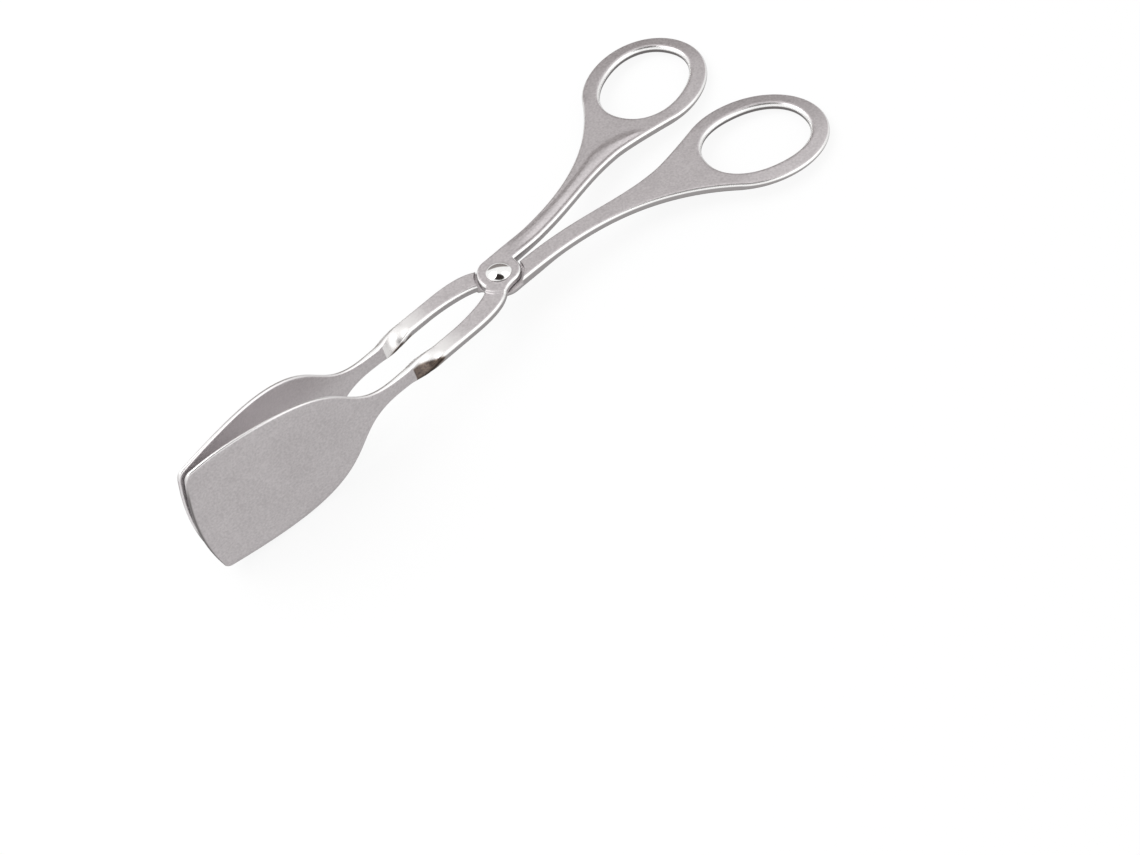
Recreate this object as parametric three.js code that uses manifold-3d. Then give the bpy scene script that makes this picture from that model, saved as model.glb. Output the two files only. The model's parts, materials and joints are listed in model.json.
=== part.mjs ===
// Kitchen tongs of the scissor kind. Two equal steel stampings, one turned over, cross in a
// half-lap joint on one domed rivet. Behind the joint each has a shank and a finger ring, and in
// front of it a neck strip twists by a quarter turn into a broad, thin gripping blade.
// Millimetres. The arms are drawn round the pivot: +X to the handles, +Y to the upper arm's ring,
// +Z along the rivet. The finished tongs are then tipped to lie on blade edges and finger rings.
import * as THREE from 'three';
import { mergeVertices } from 'three/addons/utils/BufferGeometryUtils.js';
import Module from 'manifold-3d';

// Steel and clearances
const stripThickness = 2.5;
const stripEdgeRadius = 0.7;
const runningGap = 0.3;
const cutOverrun = 2;

// Boss: the round middle of each arm, thinned to half and raised a little over its outer face
const bossRadius = 6.4;
const bossFaceHeight = 1.75;
const bossStepRadius = 7.1;
const bossRampReach = 32;

// Rivet
const rivetRadius = 2;
const rivetHeadRadius = 3.4;
const rivetHeadHeight = 1.7;
const rivetTailRadius = 3.2;
const rivetTailHeight = 0.8;

// Finger ring
const ringReach = 78.05;
const ringSpread = 20.45;
const fingerHoleLength = 30.7;
const fingerHoleWidth = 23.3;
const ringBand = 5.4;
const ringTurn = THREE.MathUtils.degToRad(17.3);
const fingerHoleFullness = 2.2;
const ringFullness = 2.03;
const shankOuterJoin = THREE.MathUtils.degToRad(134.4);
const shankInnerJoin = THREE.MathUtils.degToRad(-129.4);

// Shank: the inner edges of the two shanks bow apart, widest at the crest
const crestReach = 52.2;
const crestSpread = 6.36;
const shankRootSpread = 0.84;

// Rib: the inner side of each shank is pressed up a little, from the boss to the web at the ring
const ribHeight = 0.35;
const ribSlope = 0.9;
const ribStartSpread = 5.1;
const ribCrestReach = 47.3;
const ribCrestSpread = 11.4;
const ribEndReach = 61;

// Neck: the flat strip in front of the boss
const neckWidth = 4.9;
const neckSpread = 6.53;
const neckReach = 27;
const shoulderReach = 17;
const crotchReach = 22;
const seamLap = 3;
const seamStep = 0.02;

// Blade: the strip past its twist, flared, thinned and bent in to meet the other blade
const twistLength = 11.5;
const bladeSpread = 5.72;
const flareReach = 40.9;
const broadReach = 84.7;
const bladeHeight = 37.6;
const tipHeight = 35;
const bladeThickness = 1.15;
const thinReach = 50;
const bendReach = 47.7;
const jawReach = 101.4;
const tipGap = 0.3;
const tipBulge = 3.1;
const tipCornerRadius = 1.6;
const bladeEdgeRadius = 0.42;

// Places on the boss outline, as shares of the boss radius
const bossLeftShares = [-0.91, -0.06];
const bossFrontShares = [0.22, -0.77];
const bossRightShare = 0.98;

// Curve handles, as shares of the run of the edge that they shape
const shankOuterHandleShares = [0.455, 0.325];
const shankInnerHandleShares = [0.46, 0.33];
const ringInnerHandleShares = [0.07, 0.72];
const bossCornerHandleShares = [0.5, 0.54];
const crotchHandleShares = [0.28, 0.5];
const shoulderMidShares = [0.625, 0.72];
const shoulderHandleShares = [0.42, 0.23];
const shoulderSlope = 0.65;
const bossFrontHandleShares = [0.16, 0.4];
const bossRightHandleShares = [0.5, 0.6];
const flareHandleShares = [0.44, 0.785];
const bendHandleShares = [0.5, 0.33];
const bendEndSlope = 0.05;
const tipTaperShare = 0.4;
const ribHandleShares = [0.6, 0.05];
const ribEndHandleShares = [0.43, 0.56];

// Facets
const curveSteps = 10;
const ovalArcs = 3;
const ovalArcSteps = 12;
const bevelSteps = 2;
const twistSteps = 12;
const flareSteps = 18;
const tipSteps = 5;
const cornerSteps = 4;
const bladeFaceSteps = 8;
const rivetSides = 28;
const domeSteps = 5;
const roundSides = 48;

// Rounds of halving that find a place on the blade's bend, and rounds that settle the resting tip
const bendRounds = 30;
const tipRounds = 8;

const wasm = await Module();
wasm.setup();

function solidFrom(geometry) {
  const bare = geometry.clone();
  bare.deleteAttribute('normal');
  bare.deleteAttribute('uv');
  const merged = mergeVertices(bare);
  return new wasm.Manifold(new wasm.Mesh({
    numProp: 3,
    vertProperties: new Float32Array(merged.attributes.position.array),
    triVerts: new Uint32Array(merged.index.array),
  }));
}

function geometryFrom(solid) {
  const mesh = solid.getMesh();
  const geometry = new THREE.BufferGeometry();
  geometry.setAttribute('position', new THREE.BufferAttribute(new Float32Array(mesh.vertProperties), 3));
  geometry.setIndex(new THREE.BufferAttribute(new Uint32Array(mesh.triVerts), 1));
  geometry.computeVertexNormals();
  return geometry;
}

// A turned piece: its profile of [radius, height] points runs up from the axis and back to it
function turned(profile, sides) {
  const points = profile.map(([radius, height]) => new THREE.Vector2(radius, height));
  return new THREE.LatheGeometry(points, sides).rotateX(Math.PI / 2);
}

// One arc of a superellipse's outline, between two angles, turned and placed as the ring is
class OvalArc extends THREE.Curve {
  constructor(middle, halfLength, halfWidth, fullness, start, end) {
    super();
    Object.assign(this, { middle, halfLength, halfWidth, fullness, start, end });
  }

  getPoint(share) {
    const angle = THREE.MathUtils.lerp(this.start, this.end, share);
    const along = Math.cos(angle);
    const across = Math.sin(angle);
    const lengthPart = Math.abs(along / this.halfLength) ** this.fullness;
    const widthPart = Math.abs(across / this.halfWidth) ** this.fullness;
    const radius = (lengthPart + widthPart) ** (-1 / this.fullness);
    const point = new THREE.Vector2(radius * along, radius * across);
    return point.rotateAround(new THREE.Vector2(), ringTurn).add(this.middle);
  }
}

const ringMiddle = new THREE.Vector2(ringReach, ringSpread);

function ringOuterArc(start, end) {
  const halfLength = fingerHoleLength / 2 + ringBand;
  const halfWidth = fingerHoleWidth / 2 + ringBand;
  return new OvalArc(ringMiddle, halfLength, halfWidth, ringFullness, start, end);
}

function fingerHoleArc(start, end) {
  const halfLength = fingerHoleLength / 2;
  const halfWidth = fingerHoleWidth / 2;
  return new OvalArc(ringMiddle, halfLength, halfWidth, fingerHoleFullness, start, end);
}

// Adds an oval's arc to a path as a few curves of equal angle
function addArcs(path, arcMaker, start, end) {
  for (let i = 0; i < ovalArcs; i += 1) {
    const from = THREE.MathUtils.lerp(start, end, i / ovalArcs);
    const to = THREE.MathUtils.lerp(start, end, (i + 1) / ovalArcs);
    const arc = arcMaker(from, to);
    const points = arc.getPoints(ovalArcSteps);
    for (const point of points.slice(i === 0 ? 0 : 1)) {
      path.lineTo(point.x, point.y);
    }
  }
}

// The flat part of one arm seen along the rivet, walked counterclockwise from the shank's root
function armOutline(neckEnd) {
  const neckInner = neckWidth / 2 - neckSpread;
  const neckOuter = -neckWidth / 2 - neckSpread;
  const root = new THREE.Vector2(bossRadius * bossRightShare, shankRootSpread);
  const left = new THREE.Vector2(...bossLeftShares).multiplyScalar(bossRadius);
  const front = new THREE.Vector2(...bossFrontShares).multiplyScalar(bossRadius);

  const arc = ringOuterArc(shankInnerJoin, shankOuterJoin);
  const ringIn = arc.getPoint(0);
  const ringInAim = arc.getTangent(0);
  const ringOut = arc.getPoint(1);
  const ringOutAim = arc.getTangent(1);

  const outline = new THREE.Shape();
  outline.moveTo(root.x, root.y);

  // Shank's inner edge up to its crest, then down and round into the ring
  const rootRun = crestReach - root.x;
  outline.bezierCurveTo(
    root.x + rootRun * shankInnerHandleShares[0], root.y,
    crestReach - rootRun * shankInnerHandleShares[1], crestSpread,
    crestReach, crestSpread,
  );
  const ringRun = ringIn.x - crestReach;
  const intoRing = ringIn.clone().addScaledVector(ringInAim, -ringRun * ringInnerHandleShares[1]);
  outline.bezierCurveTo(
    crestReach + ringRun * ringInnerHandleShares[0], crestSpread,
    intoRing.x, intoRing.y,
    ringIn.x, ringIn.y,
  );
  addArcs(outline, ringOuterArc, shankInnerJoin, shankOuterJoin);

  // Shank's outer edge back to the top of the boss, then round the boss's free left side
  const outOfRing = ringOut.clone().addScaledVector(ringOutAim, ringOut.x * shankOuterHandleShares[0]);
  outline.bezierCurveTo(
    outOfRing.x, outOfRing.y,
    ringOut.x * shankOuterHandleShares[1], bossRadius,
    0, bossRadius,
  );
  outline.bezierCurveTo(
    -bossRadius * bossCornerHandleShares[0], bossRadius,
    left.x, left.y + bossRadius * bossCornerHandleShares[1],
    left.x, left.y,
  );

  // Neck: its inner edge, its plain end and its outer edge up over the shoulder to the boss
  const crotchRun = crotchReach + left.x;
  outline.bezierCurveTo(
    left.x, left.y + neckInner * shoulderHandleShares[0],
    -crotchReach + crotchRun * crotchHandleShares[1], neckInner,
    -crotchReach, neckInner,
  );
  outline.lineTo(-neckEnd, neckInner);
  outline.lineTo(-neckEnd, neckOuter);
  outline.lineTo(-shoulderReach, neckOuter);
  const middle = new THREE.Vector2(-bossRadius * shoulderMidShares[0], neckOuter * shoulderMidShares[1]);
  const shoulderRun = shoulderReach + middle.x;
  const lowReach = shoulderRun * shoulderHandleShares[1];
  outline.bezierCurveTo(
    -shoulderReach + shoulderRun * shoulderHandleShares[0], neckOuter,
    middle.x - lowReach, middle.y - lowReach * shoulderSlope,
    middle.x, middle.y,
  );
  const frontRun = front.x - middle.x;
  outline.bezierCurveTo(
    middle.x + frontRun * crotchHandleShares[0], middle.y + frontRun * crotchHandleShares[0] * shoulderSlope,
    front.x - frontRun * bossFrontHandleShares[1], front.y,
    front.x, front.y,
  );
  outline.bezierCurveTo(
    front.x + (root.x - front.x) * bossRightHandleShares[0], front.y,
    root.x, root.y + (front.y - root.y) * bossRightHandleShares[1],
    root.x, root.y,
  );

  const hole = new THREE.Path();
  const holeStart = fingerHoleArc(0, Math.PI).getPoint(0);
  hole.moveTo(holeStart.x, holeStart.y);
  addArcs(hole, fingerHoleArc, 0, Math.PI * 2);
  outline.holes.push(hole);
  return outline;
}

// The outline as a plate from one height to another, its edges rounded like the stamping's
function roundedPlate(outline, low, high) {
  const plate = new THREE.ExtrudeGeometry(outline, {
    depth: high - low - 2 * stripEdgeRadius,
    bevelEnabled: true,
    bevelThickness: stripEdgeRadius,
    bevelSize: stripEdgeRadius,
    bevelOffset: -stripEdgeRadius,
    bevelSegments: bevelSteps,
    curveSegments: curveSteps,
  });
  return plate.translate(0, 0, low + stripEdgeRadius);
}

// A block between two corners
function block(from, to) {
  const box = new THREE.Box3(new THREE.Vector3(...from), new THREE.Vector3(...to));
  const size = box.getSize(new THREE.Vector3());
  const middle = box.getCenter(new THREE.Vector3());
  return new THREE.BoxGeometry(size.x, size.y, size.z).translate(middle.x, middle.y, middle.z);
}

// A plain round bar along the rivet from one height to another
function bar(radius, low, high) {
  return turned([[0, low], [radius, low], [radius, high], [0, high]], roundSides);
}

// The space that the boss's raised face may fill: round in front, a long ramp down the shank
function bossEnvelope() {
  const softRadius = bossStepRadius - stripEdgeRadius;
  const softHeight = bossFaceHeight - stripEdgeRadius;
  const profile = [[0, 0], [bossStepRadius, 0]];
  for (let i = 0; i <= bevelSteps; i += 1) {
    const angle = (Math.PI / 2) * (i / bevelSteps);
    profile.push([
      softRadius + stripEdgeRadius * Math.cos(angle),
      softHeight + stripEdgeRadius * Math.sin(angle),
    ]);
  }
  profile.push([0, bossFaceHeight]);
  const round = solidFrom(turned(profile, roundSides));

  const side = new THREE.Shape([
    new THREE.Vector2(0, 0),
    new THREE.Vector2(bossRampReach, 0),
    new THREE.Vector2(bossRampReach, stripThickness / 2 - stripEdgeRadius),
    new THREE.Vector2(bossRadius, bossFaceHeight),
    new THREE.Vector2(0, bossFaceHeight),
  ]);
  const width = 2 * (bossStepRadius + cutOverrun);
  const ramp = new THREE.ExtrudeGeometry(side, { depth: width, bevelEnabled: false });
  ramp.translate(0, 0, -width / 2).rotateX(Math.PI / 2);
  return round.add(solidFrom(ramp));
}

// The space that the shank's rib may fill: soft on the web side, open past the shank's inner edge
function ribEnvelope() {
  const startReach = bossRadius * bossRightShare;
  const run = ribCrestReach - startReach;
  const endRun = ribEndReach - ribCrestReach;
  const inner = -cutOverrun;
  const plan = new THREE.Shape();
  plan.moveTo(startReach, inner);
  plan.lineTo(ribEndReach, inner);
  plan.lineTo(ribEndReach, crestSpread);
  plan.bezierCurveTo(
    ribEndReach, crestSpread + (ribCrestSpread - crestSpread) * ribEndHandleShares[0],
    ribCrestReach + endRun * ribEndHandleShares[1], ribCrestSpread,
    ribCrestReach, ribCrestSpread,
  );
  plan.bezierCurveTo(
    ribCrestReach - run * ribHandleShares[1], ribCrestSpread,
    startReach + run * ribHandleShares[0], ribStartSpread,
    startReach, ribStartSpread,
  );
  const top = stripThickness / 2 + ribHeight;
  const body = new THREE.ExtrudeGeometry(plan, {
    depth: top - ribHeight,
    bevelEnabled: true,
    bevelThickness: ribHeight,
    bevelSize: ribSlope,
    bevelOffset: -ribSlope / 2,
    bevelSegments: 1,
    curveSegments: curveSteps,
  });
  return solidFrom(body);
}

// One value of a cubic curve
function cubic(a, b, c, d, t) {
  const u = 1 - t;
  return u ** 3 * a + 3 * u * u * t * b + 3 * u * t * t * c + t ** 3 * d;
}

// Distance of the blade's middle surface from the middle line of the tongs, at a reach
function spreadAt(reach) {
  const tipSpread = (tipGap + bladeThickness) / 2;
  if (reach < neckReach + twistLength) {
    const share = THREE.MathUtils.smoothstep(reach, neckReach, neckReach + twistLength);
    return THREE.MathUtils.lerp(neckSpread, bladeSpread, share);
  }
  if (reach < bendReach) {
    return bladeSpread;
  }
  const run = jawReach - bendReach;
  const near = bendReach + run * bendHandleShares[0];
  const far = jawReach - run * bendHandleShares[1];
  const farSpread = tipSpread + (jawReach - far) * bendEndSlope;
  let low = 0;
  let high = 1;
  for (let i = 0; i < bendRounds; i += 1) {
    const middle = (low + high) / 2;
    if (cubic(bendReach, near, far, jawReach, middle) < reach) {
      low = middle;
    } else {
      high = middle;
    }
  }
  return cubic(bladeSpread, bladeSpread, farSpread, tipSpread, low);
}

function thicknessAt(reach) {
  const share = THREE.MathUtils.smoothstep(reach, neckReach, thinReach);
  return THREE.MathUtils.lerp(stripThickness, bladeThickness, share);
}

function edgeRadiusAt(reach) {
  const share = THREE.MathUtils.smoothstep(reach, neckReach, thinReach);
  return THREE.MathUtils.lerp(stripEdgeRadius, bladeEdgeRadius, share);
}

// Turn of the strip about its own length: flat at the neck, on edge from the end of the twist
function rollAt(reach) {
  return (Math.PI / 2) * THREE.MathUtils.smoothstep(reach, neckReach, neckReach + twistLength);
}

// Half height of the blade beyond its broadest place
function taperedHalf(reach) {
  const share = THREE.MathUtils.clamp((reach - broadReach) / (jawReach - tipBulge - broadReach), 0, 1);
  const drop = (bladeHeight - tipHeight) / 2;
  return bladeHeight / 2 - drop * share * share;
}

// Stations along the strip from inside the neck to the tip: reach from the pivot and half width
function bladeStations() {
  const stations = [];
  const half = neckWidth / 2;
  stations.push({ reach: neckReach - seamLap, half: half - seamStep, skin: seamStep });
  stations.push({ reach: neckReach, half: half - seamStep, skin: seamStep });
  for (let i = 1; i <= twistSteps; i += 1) {
    stations.push({ reach: neckReach + twistLength * (i / twistSteps), half, skin: 0 });
  }
  const run = broadReach - flareReach;
  for (let i = 0; i <= flareSteps; i += 1) {
    const t = i / flareSteps;
    const near = flareReach + run * flareHandleShares[0];
    const far = broadReach - run * flareHandleShares[1];
    const reach = cubic(flareReach, near, far, broadReach, t);
    stations.push({ reach, half: cubic(half, half, bladeHeight / 2, bladeHeight / 2, t), skin: 0 });
  }
  const end = jawReach - tipBulge;
  const cornerStart = end - tipCornerRadius;
  for (let i = 1; i <= tipSteps; i += 1) {
    const reach = THREE.MathUtils.lerp(broadReach, cornerStart, i / tipSteps);
    stations.push({ reach, half: taperedHalf(reach), skin: 0 });
  }
  for (let i = 1; i <= cornerSteps; i += 1) {
    const angle = (Math.PI / 2) * (i / cornerSteps);
    const reach = cornerStart + tipCornerRadius * Math.sin(angle);
    const cut = tipCornerRadius * (1 - Math.cos(angle));
    stations.push({ reach, half: taperedHalf(reach) - cut, skin: 0 });
  }
  return stations;
}

// One rounded-rectangle section: matching rows of points on the two broad faces
function bladeSection({ reach, half, skin }, isTip) {
  const edge = edgeRadiusAt(reach);
  const halfThickness = thicknessAt(reach) / 2 - skin - (isTip ? edge : 0);
  const flat = half - edge;
  const profile = [];
  for (let i = 0; i < bevelSteps; i += 1) {
    const angle = (Math.PI / 2) * (i / bevelSteps);
    profile.push([flat + edge * Math.cos(angle), edge * (1 - Math.sin(angle))]);
  }
  for (let i = 0; i <= bladeFaceSteps / 2; i += 1) {
    profile.push([flat * (1 - (2 * i) / bladeFaceSteps), 0]);
  }
  const mirrored = profile.slice(0, -1).reverse().map(([across, inset]) => [-across, inset]);
  const rows = [...profile, ...mirrored];

  const roll = rollAt(reach);
  const bow = THREE.MathUtils.smoothstep(reach, broadReach * tipTaperShare, jawReach - tipBulge);
  const place = (across, out) => {
    const stretch = 1 - (across / half) ** 2;
    return new THREE.Vector3(
      -reach - tipBulge * bow * bow * stretch,
      -spreadAt(reach) + across * Math.cos(roll) - out * Math.sin(roll),
      across * Math.sin(roll) + out * Math.cos(roll),
    );
  };
  return {
    outer: rows.map(([across, inset]) => place(across, Math.max(halfThickness - inset, seamStep))),
    inner: rows.map(([across, inset]) => place(across, -Math.max(halfThickness - inset, seamStep))),
  };
}

// The twisted strip and its blade as one closed skin over the sections
function bladeGeometry() {
  const stations = bladeStations();
  const sections = stations.map((station, i) => bladeSection(station, i === stations.length - 1));
  const rows = sections[0].outer.length;
  const around = 2 * rows;
  const points = sections.flatMap(({ outer, inner }) => [...outer, ...inner.slice().reverse()]);
  const index = [];
  const quad = (a, b, c, d) => index.push(a, b, c, a, c, d);
  for (let i = 0; i < sections.length - 1; i += 1) {
    for (let j = 0; j < around; j += 1) {
      const next = (j + 1) % around;
      quad(i * around + j, (i + 1) * around + j, (i + 1) * around + next, i * around + next);
    }
  }
  const last = (sections.length - 1) * around;
  for (let j = 0; j < rows - 1; j += 1) {
    quad(j, j + 1, around - 2 - j, around - 1 - j);
    quad(last + around - 1 - j, last + around - 2 - j, last + j + 1, last + j);
  }
  const geometry = new THREE.BufferGeometry().setFromPoints(points);
  geometry.setIndex(index);
  return geometry;
}

// One whole arm, as the upper one lies
function armGeometry() {
  const half = stripThickness / 2;
  const outline = armOutline(neckReach + 2 * stripEdgeRadius);
  const farSide = bladeHeight + cutOverrun;
  const plate = solidFrom(roundedPlate(outline, -half, half));
  const raised = solidFrom(roundedPlate(outline, -half, bossFaceHeight));
  const ribbed = solidFrom(roundedPlate(outline, -half, half + ribHeight));
  const beyondNeck = solidFrom(block(
    [-neckReach - cutOverrun, -farSide, -farSide],
    [-neckReach, farSide, farSide],
  ));
  const lapSpace = solidFrom(bar(bossRadius + runningGap, -bossFaceHeight - cutOverrun, runningGap / 2));
  const rivetHole = solidFrom(bar(rivetRadius + runningGap, -bossFaceHeight, bossFaceHeight + cutOverrun));
  return geometryFrom(
    plate
      .add(raised.intersect(bossEnvelope()))
      .add(ribbed.intersect(ribEnvelope()))
      .subtract(beyondNeck)
      .subtract(lapSpace)
      .subtract(rivetHole)
      .add(solidFrom(bladeGeometry())),
  );
}

// The rivet: a domed head over the upper boss, a plain shank and a low formed tail
function rivetGeometry() {
  const seat = bossFaceHeight + runningGap;
  const profile = [];
  for (let i = 0; i <= domeSteps; i += 1) {
    const angle = (Math.PI / 2) * (i / domeSteps);
    profile.push([rivetTailRadius * Math.sin(angle), -seat - rivetTailHeight * Math.cos(angle)]);
  }
  profile.push([rivetRadius, -seat], [rivetRadius, seat]);
  for (let i = 0; i <= domeSteps; i += 1) {
    const angle = (Math.PI / 2) * (i / domeSteps);
    profile.push([rivetHeadRadius * Math.cos(angle), seat + rivetHeadHeight * Math.sin(angle)]);
  }
  return turned(profile, rivetSides);
}

const armSteel = new THREE.MeshStandardMaterial({ color: 0xb4b1b0, roughness: 0.34, metalness: 1 });
const rivetSteel = new THREE.MeshStandardMaterial({ color: 0xd2d1d0, roughness: 0.12, metalness: 1 });

const arm = armGeometry();

const upperArm = new THREE.Mesh(arm, armSteel);
upperArm.name = 'upper_arm';

const lowerArm = new THREE.Mesh(arm, armSteel.clone());
lowerArm.name = 'lower_arm';
lowerArm.rotation.x = Math.PI;

const rivet = new THREE.Mesh(rivetGeometry(), rivetSteel);
rivet.name = 'rivet';

const crossing = new THREE.Group();
crossing.add(upperArm, lowerArm, rivet);

// The tip that brings the blades' lower edges and the finger rings down to one level
function restingTip() {
  const places = arm.attributes.position;
  let tip = 0;
  for (let round = 0; round < tipRounds; round += 1) {
    const lowest = [null, null];
    for (let i = 0; i < places.count; i += 1) {
      const x = places.getX(i);
      const z = -Math.abs(places.getZ(i));
      const level = z * Math.cos(tip) - x * Math.sin(tip);
      const end = x < 0 ? 0 : 1;
      if (lowest[end] === null || level < lowest[end].level) {
        lowest[end] = { x, z, level };
      }
    }
    tip = Math.atan2(lowest[1].z - lowest[0].z, lowest[1].x - lowest[0].x);
  }
  return tip;
}

crossing.rotation.y = restingTip();

const tongs = new THREE.Group();
tongs.add(crossing);
const bounds = new THREE.Box3().setFromObject(tongs, true);
const centre = bounds.getCenter(new THREE.Vector3());
crossing.position.set(-centre.x, -centre.y, -bounds.min.z);

export default tongs;
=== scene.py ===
import json

import bmesh
import bpy
import numpy as np
from mathutils import Matrix


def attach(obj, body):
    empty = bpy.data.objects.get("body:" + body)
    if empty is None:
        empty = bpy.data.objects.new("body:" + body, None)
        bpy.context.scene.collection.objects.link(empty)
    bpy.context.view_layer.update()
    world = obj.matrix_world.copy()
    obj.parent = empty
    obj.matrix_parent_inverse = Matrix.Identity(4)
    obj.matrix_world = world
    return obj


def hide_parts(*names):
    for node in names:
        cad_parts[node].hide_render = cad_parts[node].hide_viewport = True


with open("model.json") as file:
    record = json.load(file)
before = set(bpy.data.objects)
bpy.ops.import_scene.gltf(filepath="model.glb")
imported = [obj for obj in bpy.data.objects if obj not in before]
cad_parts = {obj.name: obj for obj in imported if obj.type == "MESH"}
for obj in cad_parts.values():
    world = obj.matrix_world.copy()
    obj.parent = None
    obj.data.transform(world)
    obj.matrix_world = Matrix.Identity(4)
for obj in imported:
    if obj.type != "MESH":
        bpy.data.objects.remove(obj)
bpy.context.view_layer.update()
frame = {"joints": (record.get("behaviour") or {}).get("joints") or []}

# The tongs' own axes. Every part is drawn in millimetres round the rivet, as its maker would:
# x runs back to the handles, y to the upper arm's ring and z up along the rivet.
MM = 0.001
joint = frame["joints"][0]
pivot = np.array(joint["pos_m"], float)
rivet_up = -np.array(joint["axis"], float)
rivet_up /= np.linalg.norm(rivet_up)
across_tongs = np.array([0.0, 1.0, 0.0])
to_handles = np.cross(across_tongs, rivet_up)
tongs_axes = np.stack([to_handles, across_tongs, rivet_up])


def placed(points):
    """Points round the rivet in mm as places of the row frame in metres: pivot + x, y, z along
    the tongs' axes."""
    return pivot + np.asarray(points, float) @ tongs_axes * MM


# Camera. It stands in front of the blades' near side, looking down over them to the handles.
camera_place = np.array([-163.741, -239.678, 287.175])
camera_aim = np.array([0.37456173, 0.51247602, -0.77270424])
camera_up = np.array([0.62039284, 0.48081669, 0.61961927])
LENS = 49.67
SENSOR = 36.0
NEAREST = 0.01
FURTHEST = 50.0

camera_right = np.cross(camera_aim, camera_up)
camera = bpy.data.objects.new("camera", bpy.data.cameras.new("camera"))
camera.data.lens = LENS
camera.data.sensor_width = SENSOR
camera.data.clip_start = NEAREST
camera.data.clip_end = FURTHEST
turn = Matrix((np.stack([camera_right, camera_up, -camera_aim]) @ tongs_axes).T.tolist())
camera.matrix_world = Matrix.Translation(placed(camera_place).tolist()) @ turn.to_4x4()
bpy.context.scene.collection.objects.link(camera)
bpy.context.scene.camera = camera


def colour(text):
    """An sRGB hex colour such as "B0ACAC" as linear red, green, blue and alpha."""
    value = np.array([int(text[i:i + 2], 16) for i in (0, 2, 4)]) / 255
    linear = np.where(value <= 0.04045, value / 12.92, ((value + 0.055) / 1.055) ** 2.4)
    return (*linear.tolist(), 1.0)


def add_node(tree, kind, settings=None, **links):
    """A node of that kind with its settings and inputs. An input is a value, or the socket that
    feeds it, and i with a number stands for the input at that place."""
    node = tree.nodes.new(kind)
    for name, value in (settings or {}).items():
        setattr(node, name, value)
    for name, value in links.items():
        key = int(name[1:]) if name[0] == "i" and name[1:].isdigit() else name.replace("_", " ")
        socket = node.inputs[key]
        if isinstance(value, bpy.types.NodeSocket):
            tree.links.new(value, socket)
        else:
            socket.default_value = value
    return node


# Table and light. A white table without an edge, under an even white room. Bright steel also sees a
# dark place where whoever looks stands, a grey one low at the back and a brighter one at the front.
TABLE_SIZE = 40.0
TABLE_DROP = 0.3
SHADOW_SHARE = 0.12
TABLE_IN_STEEL = 0.78
ROOM_STRENGTH = 0.86
ROOM_WHITE = colour("FFFFFF")
BRIGHT = (1.5, 1.5, 1.5, 1.0)
# A place fades in from its edge to its core, as shares of its half width
PLACE_EDGE = 1.12
PLACE_CORE = 0.85
# Each place has an aim along the tongs' axes, half a width and height in degrees, and a colour
ROOM_PLACES = [
    ((0.58, 0.78, 0.20), 34, 30, colour("8E8886")),
    ((0.35, -0.60, 0.72), 32, 32, BRIGHT),
    ((-0.28, -0.19, 0.94), 36, 19, colour("332D2B")),
]

world = bpy.data.worlds.new("white_room")
bpy.context.scene.world = world
world.use_nodes = True
tree = world.node_tree
tree.nodes.clear()
rays = add_node(tree, "ShaderNodeLightPath")
way = add_node(tree, "ShaderNodeTexCoord")
room_colour = ROOM_WHITE
for aim, wide, high, paint in ROOM_PLACES:
    centre = np.array(aim) / np.linalg.norm(aim)
    level = np.cross((0.0, 0.0, 1.0), centre)
    level /= np.linalg.norm(level)
    spans = (level / np.sin(np.radians(wide)),
             np.cross(centre, level) / np.sin(np.radians(high)), centre)
    offs = [add_node(tree, "ShaderNodeVectorMath", {"operation": "DOT_PRODUCT"},
                     i0=way.outputs["Generated"],
                     i1=(span @ tongs_axes).tolist()).outputs["Value"] for span in spans]
    off = add_node(tree, "ShaderNodeCombineXYZ", X=offs[0], Y=offs[1])
    away = add_node(tree, "ShaderNodeVectorMath", {"operation": "LENGTH"}, i0=off.outputs[0])
    near = add_node(tree, "ShaderNodeMapRange", {"interpolation_type": "SMOOTHSTEP"},
                    Value=away.outputs["Value"], From_Min=PLACE_EDGE, From_Max=PLACE_CORE)
    ahead = add_node(tree, "ShaderNodeMath", {"operation": "GREATER_THAN"}, i0=offs[2], i1=0.0)
    inside = add_node(tree, "ShaderNodeMath", {"operation": "MULTIPLY"},
                      i0=near.outputs[0], i1=ahead.outputs[0])
    room_colour = add_node(tree, "ShaderNodeMix", {"data_type": "RGBA"}, Factor=inside.outputs[0],
                           i6=room_colour, i7=paint).outputs[2]
seen_room = add_node(tree, "ShaderNodeBackground", Color=room_colour, Strength=1.0)
lit_room = add_node(tree, "ShaderNodeBackground", Color=ROOM_WHITE, Strength=ROOM_STRENGTH)
plain_room = add_node(tree, "ShaderNodeBackground", Color=ROOM_WHITE, Strength=1.0)
glossy = add_node(tree, "ShaderNodeMixShader", i0=rays.outputs["Is Glossy Ray"],
                  i1=lit_room.outputs[0], i2=seen_room.outputs[0])
clear = add_node(tree, "ShaderNodeMixShader", i0=rays.outputs["Is Transmission Ray"],
                 i1=glossy.outputs[0], i2=plain_room.outputs[0])
shown = add_node(tree, "ShaderNodeMixShader", i0=rays.outputs["Is Camera Ray"],
                 i1=clear.outputs[0], i2=plain_room.outputs[0])
add_node(tree, "ShaderNodeOutputWorld", Surface=shown.outputs[0])

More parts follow.
